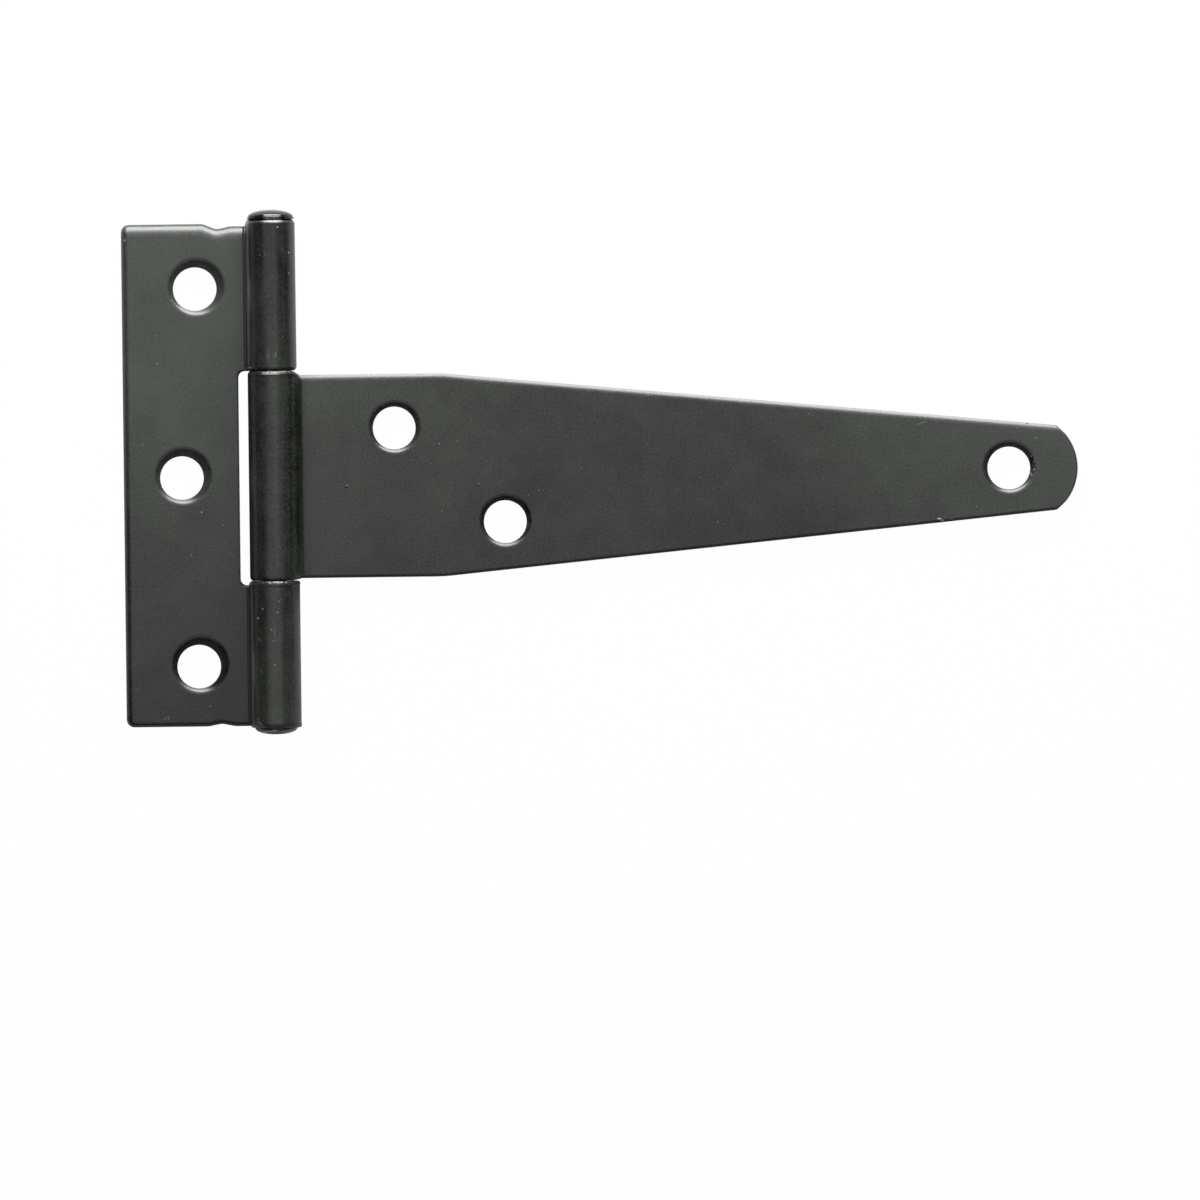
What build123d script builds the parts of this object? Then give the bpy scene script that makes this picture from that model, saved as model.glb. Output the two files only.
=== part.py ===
from build123d import *
import os
from math import asin, degrees

# A light tee hinge, pressed from sheet steel and coated black.
# X runs along the strap, Y along the pin and Z out of the front, where the barrel stands.
# The origin lies on the flat backs, straight below the pin's axis, at the middle of the strap.
# All sizes are in millimetres.

# Sheet and barrel
sheet = 1.5                     # thickness of both leaves
pin_diameter = 3.1
pin_play = 0.05                 # between the pin and the bore of the knuckles, on the radius
knuckle_gap = 0.12              # between neighbouring knuckles, end to end
seam_gap = 0.15                 # between the rolled end of a knuckle and its own leaf
knuckle_round = 0.6             # round-over of the outer edges at the ends of a knuckle
edge_round = 0.6                # round-over of the front edges, left by the punch
leaf_roll_opening = 0.2         # the cross leaf's rolls open this far towards their seam, on the radius
strap_roll_opening = 0.6        # the strap's roll does so by this much

# Cross leaf
leaf_height = 63.5
leaf_rise = 0.32                # the leaf's edges lie this much higher than its window and holes
leaf_reach = 18.95              # pin axis to the outer edge
leaf_corner = 0.7
window_play = 1.22              # between the strap's knuckle and the edge of the window
window_corner = 0.8
window_drop = 0.5               # the window's lower edge lies this much below the lower knuckle's end
upper_overhang = 0.46           # how far the upper knuckle stands past the leaf's edge
lower_overhang = 0.23           # how far the lower knuckle stands past the leaf's edge

# Nicks in the upper and lower edge of the cross leaf, beside the barrel
nick_reach = 6.9                # pin axis to the deepest point
nick_half_width = 1.7
nick_blend = 1.6
upper_nick_depth = 0.6
upper_nick_step = 0.25          # the upper edge is this much lower between the nick and the barrel
lower_nick_depth = 0.33

# Strap
strap_length = 101.6            # pin axis to the tip
strap_width = 25.66
strap_knuckle_length = 26.5
knuckle_rise = 0.15             # the strap's knuckle lies this much higher than the strap
root_flare_length = 1.3         # the knuckle's extra width runs out over this length
straight_length = 21.4          # pin axis to the start of the taper
taper_blend = 20.0
tip_width = 10.7                # across the two corners of the tip
tip_radius = 6.7
tip_corner = 1.0

# Screw holes
leaf_hole_diameter = 5.5
leaf_sink_diameter = 6.9
leaf_hole_spacing = 47.7        # between the two outer holes, along the pin
outer_hole_margin = 9.25        # from the leaf's outer edge to the two outer holes
middle_hole_margin = 7.35       # from the leaf's outer edge to the middle hole
strap_hole_diameter = 5.4
strap_sink_diameter = 6.4
first_hole_reach = 15.3         # pin axis to the first hole
second_hole_reach = 29.2        # pin axis to the second hole
hole_stagger = 6.0              # the first two holes stand this far either side of the middle
tip_hole_margin = 8.7           # from the tip to the last hole
sink_angle = 90
dish_width = 0.3                # the face is dished this far round each countersink
dish_angle = 136

# Pin heads
upper_head_diameter = 6.0
upper_head_height = 1.2
lower_head_diameter = 5.4
lower_head_height = 0.85
head_rim_height = 0.3           # flat rim that the rivet tool leaves under the dome
head_rim_step = 0.1             # the dome is this much smaller than its rim, on the radius

# Worked out from the sizes above
knuckle_inner = pin_diameter / 2 + pin_play
knuckle_outer = knuckle_inner + sheet
knuckle_top = knuckle_rise + strap_knuckle_length / 2
knuckle_bottom = knuckle_rise - strap_knuckle_length / 2
upper_start = knuckle_top + knuckle_gap
lower_start = knuckle_bottom - knuckle_gap
leaf_top = leaf_rise + leaf_height / 2
leaf_bottom = leaf_rise - leaf_height / 2
upper_end = leaf_top + upper_overhang
lower_end = leaf_bottom - lower_overhang
tolerance = 0.01


def near(value):
    """The narrow range that the selectors take for one coordinate."""
    return value - tolerance, value + tolerance


def rolled_section(side, opening):
    """Section of a knuckle across the pin, with the stretch of flat sheet that it grows from.

    side is -1 for a leaf that lies on the -X side of the pin and +1 for one on the +X side.
    The sheet runs in flat to below the pin and rolls up round it. Past the top the roll opens
    a little, and it comes down to its own face in a wider curve.
    """
    axis = (0, knuckle_outer)
    wide_centre = (0, knuckle_outer - opening)
    wide_outer = knuckle_outer + opening
    wide_inner = knuckle_inner + opening
    drop = (knuckle_outer - opening - sheet - seam_gap) / wide_outer
    wide_turn = 90 + degrees(asin(drop))
    flat_start = side * knuckle_outer
    with BuildLine() as section:
        back = Line((flat_start, 0), (0, 0))
        CenterArc(axis, knuckle_outer, -90, -side * 180)
        outside = CenterArc(wide_centre, wide_outer, 90, -side * wide_turn)
        inside = CenterArc(wide_centre, wide_inner, 90 - side * wide_turn, side * wide_turn)
        Line(outside @ 1, inside @ 0)
        bore = CenterArc(axis, knuckle_inner, 90, side * 180)
        front = Line(bore @ 1, (flat_start, sheet))
        Line(front @ 1, back @ 0)
    return section.line


def rolled_knuckle(side, opening, top, bottom):
    """A knuckle between two heights along the pin, with the outer edges of its ends rounded over."""
    with BuildPart() as knuckle:
        with BuildSketch(Plane.XZ.offset(-top)):
            add(rolled_section(side, opening))
            make_face()
        extrude(amount=top - bottom)
        arcs = knuckle.edges().filter_by(GeomType.CIRCLE)
        fillet([arc for arc in arcs if arc.radius > knuckle_outer - tolerance], knuckle_round)
    return knuckle.part


def front_outline(leaf, joint_x):
    """The front edges of a flat leaf, apart from those where a knuckle will join it."""
    front = leaf.faces().sort_by(Axis.Z)[-1]
    return [edge for edge in front.edges() if abs(edge.center().X - joint_x) > tolerance]


def screw_holes(places, hole_diameter, sink_diameter):
    """Countersunk screw holes through a leaf, each in the shallow dish that its punch leaves."""
    with Locations(*[(x, y, sheet) for x, y in places]):
        CounterSinkHole(hole_diameter / 2, sink_diameter / 2, sheet, sink_angle)
        CounterSinkHole(hole_diameter / 2, sink_diameter / 2 + dish_width, sheet, dish_angle)


def head_crown(top, rim_radius, rim):
    """Half outline of a rivet head's crown, from its top on the pin's axis to its foot on the rim."""
    return TangentArc((0, top), (rim_radius - head_rim_step, rim), tangent=(1, 0))


# Cross leaf: a flat plate with a window for the strap's knuckle, and a knuckle above and below it
leaf_edge = -leaf_reach
joint_line = -knuckle_outer
window_edge = joint_line - window_play
nick_far = -nick_reach - nick_half_width
nick_near = -nick_reach + nick_half_width
step_level = leaf_top - upper_nick_step
window_bottom = lower_start - window_drop
outer_hole_x = leaf_edge + outer_hole_margin
leaf_holes = [
    (outer_hole_x, leaf_hole_spacing / 2),
    (leaf_edge + middle_hole_margin, 0),
    (outer_hole_x, -leaf_hole_spacing / 2),
]

upper_knuckle = rolled_knuckle(-1, leaf_roll_opening, upper_end, upper_start)
lower_knuckle = rolled_knuckle(-1, leaf_roll_opening, lower_start, lower_end)

with BuildPart() as cross_leaf:
    with BuildSketch() as plate:
        with BuildLine():
            Polyline(
                (leaf_edge, leaf_bottom),
                (nick_far, leaf_bottom),
                (-nick_reach, leaf_bottom + lower_nick_depth),
                (nick_near, leaf_bottom),
                (joint_line, leaf_bottom),
                (joint_line, window_bottom),
                (window_edge, window_bottom),
                (window_edge, upper_start),
                (joint_line, upper_start),
                (joint_line, step_level),
                (nick_near, step_level),
                (-nick_reach, leaf_top - upper_nick_depth),
                (nick_far, leaf_top),
                (leaf_edge, leaf_top),
                close=True,
            )
        make_face()
        nicks = plate.vertices().filter_by_position(Axis.X, nick_far - tolerance, nick_near + tolerance)
        fillet([corner for corner in nicks if abs(corner.Y) > leaf_hole_spacing / 2], nick_blend)
        fillet(plate.vertices().group_by(Axis.X)[0], leaf_corner)
        fillet(plate.vertices().filter_by_position(Axis.X, *near(window_edge)), window_corner)
    extrude(amount=sheet)
    fillet(front_outline(cross_leaf, joint_line), edge_round)
    add([upper_knuckle, lower_knuckle])
    screw_holes(leaf_holes, leaf_hole_diameter, leaf_sink_diameter)
cross_leaf.part.label = "cross_leaf"

# Strap leaf: a long tapered plate that rolls into one knuckle, a little wider than the strap
strap_half = strap_width / 2
root = knuckle_outer + root_flare_length
tip_turn = degrees(asin(tip_width / 2 / tip_radius))
strap_holes = [
    (first_hole_reach, hole_stagger),
    (second_hole_reach, -hole_stagger),
    (strap_length - tip_hole_margin, 0),
]

middle_knuckle = rolled_knuckle(1, strap_roll_opening, knuckle_top, knuckle_bottom)

with BuildPart() as strap_leaf:
    with BuildSketch() as strap:
        with BuildLine():
            tip = CenterArc((strap_length - tip_radius, 0), tip_radius, -tip_turn, 2 * tip_turn)
            Polyline(
                tip @ 1,
                (straight_length, strap_half),
                (root, strap_half),
                (knuckle_outer, knuckle_top),
                (knuckle_outer, knuckle_bottom),
                (root, -strap_half),
                (straight_length, -strap_half),
                tip @ 0,
            )
        make_face()
        fillet(strap.vertices().filter_by_position(Axis.X, *near((tip @ 1).X)), tip_corner)
        fillet(strap.vertices().filter_by_position(Axis.X, *near(straight_length)), taper_blend)
    extrude(amount=sheet)
    fillet(front_outline(strap_leaf, knuckle_outer), edge_round)
    add(middle_knuckle)
    screw_holes(strap_holes, strap_hole_diameter, strap_sink_diameter)
strap_leaf.part.label = "strap_leaf"

# Hinge pin: a plain pin through all three knuckles, closed by a domed rivet head at each end
pin_radius = pin_diameter / 2
upper_rim_radius = upper_head_diameter / 2
lower_rim_radius = lower_head_diameter / 2
upper_rim = upper_end + head_rim_height
lower_rim = lower_end - head_rim_height

with BuildPart() as hinge_pin:
    with BuildSketch(Plane.XY.offset(knuckle_outer)):
        with BuildLine():
            upper_crown = head_crown(upper_end + upper_head_height, upper_rim_radius, upper_rim)
            lower_crown = head_crown(lower_end - lower_head_height, lower_rim_radius, lower_rim)
            Polyline(
                upper_crown @ 1,
                (upper_rim_radius, upper_rim),
                (upper_rim_radius, upper_end),
                (pin_radius, upper_end),
                (pin_radius, lower_end),
                (lower_rim_radius, lower_end),
                (lower_rim_radius, lower_rim),
                lower_crown @ 1,
            )
            Line(lower_crown @ 0, upper_crown @ 0)
        make_face()
    revolve(axis=Axis((0, 0, knuckle_outer), (0, 1, 0)))
hinge_pin.part.label = "hinge_pin"

os.makedirs("parts", exist_ok=True)
for piece in (cross_leaf, strap_leaf, hinge_pin):
    export_step(piece.part, f"parts/{piece.part.label}.step")
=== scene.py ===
"""A light black tee hinge that lies on its back, seen from straight above.

Both leaves are modelled the way they are made. A flat blank is punched, which rolls its edges over,
its tabs are curled round the pin, and the screw holes are pierced and sunk. Lengths are in millimetres
until a finished mesh is turned into metres.
"""

import logging
import math
from collections.abc import Iterable, Sequence
from dataclasses import dataclass
from enum import Enum

import bmesh
import bpy
from mathutils import Matrix, Vector, noise


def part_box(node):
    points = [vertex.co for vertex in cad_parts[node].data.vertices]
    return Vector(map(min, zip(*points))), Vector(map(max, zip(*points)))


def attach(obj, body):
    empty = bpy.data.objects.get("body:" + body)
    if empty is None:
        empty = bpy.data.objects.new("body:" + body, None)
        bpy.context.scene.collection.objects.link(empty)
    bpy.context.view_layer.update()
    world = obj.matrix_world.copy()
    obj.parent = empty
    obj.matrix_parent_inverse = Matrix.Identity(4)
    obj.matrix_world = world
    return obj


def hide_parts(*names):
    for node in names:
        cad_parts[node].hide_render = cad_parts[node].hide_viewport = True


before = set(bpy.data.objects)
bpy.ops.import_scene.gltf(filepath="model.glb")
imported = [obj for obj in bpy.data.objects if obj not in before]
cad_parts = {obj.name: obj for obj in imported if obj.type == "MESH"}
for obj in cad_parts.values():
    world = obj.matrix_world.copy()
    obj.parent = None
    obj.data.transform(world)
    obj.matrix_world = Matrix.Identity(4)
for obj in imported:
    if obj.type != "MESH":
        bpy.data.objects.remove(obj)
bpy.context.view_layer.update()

MM = 0.001

# Points of a spun solid that lie closer than this are one, and a cut snaps to points this near to it.
WELD = 1e-5
CUT_SNAP = 1e-4

# Edges that turn more than this many degrees stay sharp.
SHARP_ANGLE = 32.0

# The roll reaches less far than this to the left of the pin's axis, in barrel radii.
ROLL_REACH = 1.5

# The colour inputs and the colour output of a Mix node, whose names are not unique.
MIX_FIRST, MIX_SECOND, MIX_COLOUR = 6, 7, 2
log = logging.getLogger("tee_hinge")

Point = tuple[float, float]


class Body(Enum):
    """The two bodies of the hinge that swing against each other."""

    FRAME = "frame_side"
    STRAP = "strap_side"


class Slot(Enum):
    """The record's finishes."""

    LEAVES = "black_coating"
    PIN = "pin_coating"


@dataclass(frozen=True)
class NodeBox:
    """The box of a CAD node, in millimetres."""

    low: Vector
    high: Vector

    @classmethod
    def of(cls, node: str) -> "NodeBox":
        """Reads a node's box from the frame.

        Args:
            node: The CAD node's name.

        Returns:
            Its box in millimetres.
        """
        low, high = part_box(node)
        return cls(low / MM, high / MM)


@dataclass(frozen=True)
class Corner:
    """A corner of an outline, rounded to a radius.

    The side that starts here moves inwards by its share of the outline's inset.
    """

    x: float
    y: float
    radius: float = 0.0
    share: float = 1.0


class Outline:
    """A line through rounded corners. A closed one runs counter-clockwise round its face."""

    # The widest step of an arc, the smallest radius that an inset leaves a corner, and the cosine of
    # the turn from which two sides count as one.
    STEP = math.radians(9)
    SMALLEST = 0.012
    STRAIGHT = 0.999

    def __init__(self, corners: Sequence[Corner], closed: bool = True) -> None:
        """Keeps the corners.

        Args:
            corners: The corners in order.
            closed: Whether the last corner joins the first.
        """
        self.corners = list(corners)
        self.closed = closed

    def points(self, inset: float = 0.0) -> list[Point]:
        """The points of the outline after it has moved inwards.

        Args:
            inset: How far each side moves to its left.

        Returns:
            As many points for every inset, in the same order.
        """
        found: list[Point] = []
        count = len(self.corners)
        for index, corner in enumerate(self.corners):
            if not self.closed and index in (0, count - 1):
                found.append((corner.x, corner.y))
                continue
            before = self.corners[index - 1]
            after = self.corners[(index + 1) % count]
            found += self._bend(before, corner, after, inset)
        return found

    def _bend(self, before: Corner, corner: Corner, after: Corner, inset: float) -> list[Point]:
        """The points that round one corner.

        Args:
            before: The corner before it.
            corner: The corner itself.
            after: The corner after it.
            inset: How far the sides have moved to their left.

        Returns:
            One point for a sharp corner, and an arc for a rounded one.
        """
        here = Vector((corner.x, corner.y))
        come = (here - Vector((before.x, before.y))).normalized()
        go = (Vector((after.x, after.y)) - here).normalized()
        left_come, left_go = Vector((-come.y, come.x)), Vector((-go.y, go.x))
        first, second = inset * before.share, inset * corner.share
        slant = left_come.dot(left_go)
        if first == second or slant > self.STRAIGHT:
            here = here + (left_come + left_go) * second / (1 + slant)
        else:
            square = 1 - slant * slant
            here = here + left_come * (first - second * slant) / square
            here = here + left_go * (second - first * slant) / square
        if not corner.radius:
            return [(here.x, here.y)]
        turn = math.atan2(come.x * go.y - come.y * go.x, come.dot(go))
        moved = (first + second) / 2
        radius = max(corner.radius - moved, self.SMALLEST) if turn > 0 else corner.radius
        side = math.copysign(1, turn)
        start = here - come * radius * math.tan(abs(turn) / 2)
        centre = start + left_come * radius * side
        steps = max(2, math.ceil(abs(turn) / self.STEP))
        arm = start - centre
        turned = (arm @ Matrix.Rotation(-turn * step / steps, 2) for step in range(steps + 1))
        return [(centre.x + spoke.x, centre.y + spoke.y) for spoke in turned]


@dataclass(frozen=True)
class EdgeProfile:
    """How the punch leaves the edge of a blank: rolled over at the front, eased at the back.

    The front's round starts at wall_angle degrees up from the wall.
    """

    back_width: float = 0.42
    back_depth: float = 0.4
    front_width: float = 1.65
    front_depth: float = 1.05
    wall_angle: float = 0.0
    steps: int = 12

    def stations(self, sheet: float) -> list[Point]:
        """The edge's section.

        Args:
            sheet: The thickness of the sheet.

        Returns:
            Pairs of inset and height, from the flat of the back to the flat of the front.
        """
        angles = [math.pi / 2 * step / self.steps for step in range(self.steps + 1)]
        back = [
            (self.back_width * (1 - math.sin(angle)), self.back_depth * (1 - math.cos(angle)))
            for angle in angles
        ]
        start = math.radians(self.wall_angle)
        angles = [start + (math.pi / 2 - start) * step / self.steps for step in range(self.steps + 1)]
        front = [
            (
                self.front_width * (math.cos(start) - math.cos(angle)),
                sheet - self.front_depth * (1 - math.sin(angle)),
            )
            for angle in angles
        ]
        return back + front


@dataclass(frozen=True)
class ScrewHole:
    """A pierced hole with a countersink, whose punch stood a little off centre and drew its lip in.

    The countersink starts sink_width outside the hole, and lip_round is the radius of its lip. A shallow
    dish lies round it. The tools stand clear of the sheet by clearance. The plain hole starts to widen
    back_break above the back, and is back_mouth wider below it.
    """

    x: float
    y: float
    radius: float
    sink_width: float
    lip_round: float
    lean: Point = (0.0, 0.0)
    sink_slope: float = 47.0
    clearance: float = 1.0
    back_break: float = 0.1
    back_mouth: float = 0.3
    nose_play: float = 0.1
    dish_width: float = 1.6
    dish_rise: float = 0.02
    dish_depth: float = 0.004
    segments: int = 96

    def pierce(self, shape: bmesh.types.BMesh, sheet: float) -> None:
        """Adds the punch of the plain hole.

        Args:
            shape: The mesh that the solid is added to.
            sheet: The thickness of the sheet.
        """
        mouth = self.radius + self.back_mouth
        chain = Outline(
            [
                Corner(0.0, sheet + self.clearance),
                Corner(self.radius, sheet + self.clearance),
                Corner(self.radius, self.back_break, self.back_break),
                Corner(mouth, self.back_break - self.back_mouth),
                Corner(mouth, -self.clearance),
                Corner(0.0, -self.clearance),
            ],
            closed=False,
        )
        spun(shape, chain.points(), Vector((self.x, self.y, 0)), Vector((0, 0, 1)), self.segments)

    def sink(self, shape: bmesh.types.BMesh, sheet: float) -> None:
        """Adds the punch of the countersink and its dish, which leans off the hole's centre.

        Args:
            shape: The mesh that the solid is added to.
            sheet: The thickness of the sheet.
        """
        slope = math.radians(self.sink_slope)
        edge = self.radius + self.sink_width - self.lip_round * math.tan(slope / 2)
        nose = self.radius - math.hypot(*self.lean) - self.nose_play
        floor = sheet - (edge - nose) * math.tan(slope)
        dish = edge + self.dish_width
        chain = Outline(
            [
                Corner(0.0, sheet + self.clearance),
                Corner(dish, sheet + self.clearance),
                Corner(dish, sheet + self.dish_rise),
                Corner(edge, sheet - self.dish_depth, self.lip_round),
                Corner(nose, floor),
                Corner(0.0, floor),
            ],
            closed=False,
        )
        centre = Vector((self.x + self.lean[0], self.y + self.lean[1], 0))
        spun(shape, chain.points(), centre, Vector((0, 0, 1)), self.segments)


@dataclass(frozen=True)
class Blemish:
    """A chip, tear or nib at a place on a leaf.

    Size holds its half widths. It is a ball with coarse and fine bumps, which the seed picks.
    """

    x: float
    y: float
    z: float
    size: tuple[float, float, float]
    roughness: float
    seed: float
    coarse_bumps: float = 2.6
    fine_bumps: float = 6.1
    fine_share: float = 0.5

    def add(self, shape: bmesh.types.BMesh) -> None:
        """Adds the blemish as a small uneven lump.

        Args:
            shape: The mesh that the lump is added to.
        """
        made = bmesh.ops.create_icosphere(shape, subdivisions=4, radius=1.0)
        for vert in made["verts"]:
            shift = noise.noise(vert.co * self.coarse_bumps + Vector((self.seed, 0, 0)))
            fine = noise.noise(vert.co * self.fine_bumps + Vector((0, self.seed, 0)))
            shift += self.fine_share * fine
            vert.co = vert.co * (1 + self.roughness * shift)
            vert.co = Vector(a * b for a, b in zip(vert.co, self.size))
            vert.co += Vector((self.x, self.y, self.z))


@dataclass(frozen=True)
class Groove:
    """A straight groove between two corners of a box."""

    low: Vector
    high: Vector

    def add(self, shape: bmesh.types.BMesh) -> None:
        """Adds the tool that cuts the groove.

        Args:
            shape: The mesh that the tool is added to.
        """
        made = bmesh.ops.create_cube(shape, size=1.0)
        size, middle = self.high - self.low, (self.high + self.low) / 2
        for vert in made["verts"]:
            vert.co = Vector(a * b for a, b in zip(vert.co, size)) + middle


def spun(
    shape: bmesh.types.BMesh, chain: Iterable[Point], centre: Vector, axis: Vector, segments: int
) -> None:
    """Spins a half outline round an axis into a closed solid.

    Args:
        shape: The mesh that the solid is added to.
        chain: Pairs of distance from the axis and place along it. The ends lie on the axis.
        centre: The axis passes through here.
        axis: Along Y or Z.
        segments: Steps in a full turn.
    """
    verts = [shape.verts.new(centre + Vector((away, 0, 0)) + axis * along) for away, along in chain]
    edges = [shape.edges.new(pair) for pair in zip(verts, verts[1:])]
    before = set(shape.verts) - set(verts)
    bmesh.ops.spin(
        shape, geom=verts + edges, cent=centre, axis=axis, angle=math.tau, steps=segments, use_merge=True
    )
    fresh = [vert for vert in shape.verts if vert not in before]
    bmesh.ops.remove_doubles(shape, verts=fresh, dist=WELD)
    loose = [vert for vert in shape.verts if not vert.link_faces]
    bmesh.ops.delete(shape, geom=loose, context="VERTS")
    bmesh.ops.recalc_face_normals(shape, faces=shape.faces[:])


def joint_side(barrel_radius: float, height: float, sheet: float) -> float:
    """Where the barrel starts along X: at the pin's axis within the sheet, and left of the roll above it.

    Args:
        barrel_radius: The barrel's outer radius.
        height: The height above the back.
        sheet: The thickness of the sheet.

    Returns:
        The lowest X that belongs to the barrel.
    """
    return 0.0 if height <= sheet else -ROLL_REACH * barrel_radius


def as_object(shape: bmesh.types.BMesh, name: str) -> bpy.types.Object:
    """Turns a bmesh into an object and frees it.

    Args:
        shape: The mesh.
        name: The object's name.

    Returns:
        The new object, linked to the scene.
    """
    mesh = bpy.data.meshes.new(name)
    shape.to_mesh(mesh)
    shape.free()
    made = bpy.data.objects.new(name, mesh)
    bpy.context.scene.collection.objects.link(made)
    return made


def combine(target: bpy.types.Object, tool: bpy.types.Object, operation: str) -> None:
    """Joins or cuts one solid with another and removes the other.

    Args:
        target: The solid that stays.
        tool: The solid that is used up.
        operation: UNION or DIFFERENCE.
    """
    step = target.modifiers.new(operation.lower(), "BOOLEAN")
    step.operation = operation
    step.solver = "EXACT"
    step.object = tool
    graph = bpy.context.evaluated_depsgraph_get()
    result = bpy.data.meshes.new_from_object(target.evaluated_get(graph))
    target.modifiers.clear()
    old = target.data
    target.data = result
    bpy.data.meshes.remove(old)
    bpy.data.meshes.remove(tool.data)


def finish_mesh(target: bpy.types.Object) -> None:
    """Smooths the shading, keeps flat faces flat and turns millimetres into metres.

    Args:
        target: The object whose mesh is finished.
    """
    mesh = target.data
    mesh.transform(Matrix.Scale(MM, 4))
    mesh.shade_smooth()
    mesh.set_sharp_from_angle(angle=math.radians(SHARP_ANGLE))
    weighted = target.modifiers.new("weighted_normals", "WEIGHTED_NORMAL")
    weighted.keep_sharp = True


class RolledLeaf:
    """A punched blank whose tabs are curled round the pin.

    It is drawn with its plate on the -X side of the pin and its tabs on the +X side. The end of a tab, its
    sides and the sides of the window take roll_end, roll_side and window_side of the edge's inset.
    """

    name: str
    body: Body
    outline: Outline
    sheet: float
    seam: float
    opening: float
    barrel_radius: float
    turn: float
    tab: float
    straight_end: float
    edge: EdgeProfile
    holes: list[ScrewHole]
    mirrored = False
    station_angle = math.radians(2.5)
    roll_end = 0.08
    roll_side = 1.45
    window_side = 0.12
    slant = 0.0
    tab_corner = 0.2

    def blank(self) -> bmesh.types.BMesh:
        """Makes the flat blank with its rounded edges.

        Returns:
            A closed solid.
        """
        shape = bmesh.new()
        stations = self.edge.stations(self.sheet)
        inset, height = stations[0]
        face = shape.faces.new([shape.verts.new((x, y, height)) for x, y in self.outline.points(inset)])
        for inset, height in stations[1:]:
            bmesh.ops.inset_individual(shape, faces=[face], thickness=0.0, depth=0.0)
            for vert, (x, y) in zip(face.verts, self.outline.points(inset)):
                vert.co = (x, y, height)
        rim = [edge for edge in shape.edges if edge.is_boundary]
        bmesh.ops.contextual_create(shape, geom=rim)
        bmesh.ops.recalc_face_normals(shape, faces=shape.faces[:])
        return shape

    def curl(self) -> None:
        """Works out how far a tab turns before its end meets its own leaf, and its flat length.

        The tab runs half round the pin, then down in a wider curve, and its last stretch is straight.
        """
        wide = self.barrel_radius + self.opening
        start = self.barrel_radius - self.opening + wide * math.sin(self.slant)
        foot = self.sheet * (1 + math.sin(self.slant)) + self.seam
        self.turn = math.pi * 1.5 - self.slant
        self.straight_end = (start - foot) / math.cos(self.slant)
        self.tab = self.barrel_radius * math.pi + wide * (self.turn - math.pi) + self.straight_end

    def roll(self, shape: bmesh.types.BMesh) -> None:
        """Curls everything beyond the pin's axis round the pin.

        Args:
            shape: The flat blank.
        """
        count = math.ceil(self.turn / self.station_angle)
        for step in range(count):
            place = self.tab * step / count
            geometry = shape.verts[:] + shape.edges[:] + shape.faces[:]
            bmesh.ops.bisect_plane(
                shape, geom=geometry, dist=CUT_SNAP, plane_co=(place, 0, 0), plane_no=(1, 0, 0)
            )
        half = self.barrel_radius * math.pi
        for vert in shape.verts:
            if vert.co.x > 0:
                bent = min(vert.co.x, self.tab - self.straight_end)
                straight = vert.co.x - bent
                opening = self.opening if bent > half else 0.0
                radius = self.barrel_radius + opening
                angle = bent / radius if not opening else math.pi + (bent - half) / radius
                reach = radius - vert.co.z
                vert.co.x = reach * math.sin(angle) + straight * math.cos(angle)
                vert.co.z = self.barrel_radius - opening - reach * math.cos(angle)
                vert.co.z += straight * math.sin(angle)

    def chips(self) -> Sequence[Blemish | Groove]:
        """The chips and grooves that are cut out of the leaf."""
        return []

    def nibs(self) -> list[Blemish]:
        """The lumps that stand on the leaf under its coating."""
        return []

    def build(self) -> bpy.types.Object:
        """Makes the finished leaf.

        Returns:
            The leaf's object.
        """
        shape = self.blank()
        self.roll(shape)
        leaf = as_object(shape, f"{self.name}_coated")
        for punch in (ScrewHole.pierce, ScrewHole.sink):
            tools = bmesh.new()
            for hole in self.holes:
                punch(hole, tools, self.sheet)
            combine(leaf, as_object(tools, "hole_punches"), "DIFFERENCE")
        for operation, blemishes in (("DIFFERENCE", self.chips()), ("UNION", self.nibs())):
            for blemish in blemishes:
                lump = bmesh.new()
                blemish.add(lump)
                combine(leaf, as_object(lump, "blemish"), operation)
        if self.mirrored:
            leaf.data.transform(Matrix.Scale(-1, 4, (1, 0, 0)))
            leaf.data.flip_normals()
        finish_mesh(leaf)
        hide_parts(self.name)
        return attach(leaf, self.body.value)


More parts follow.
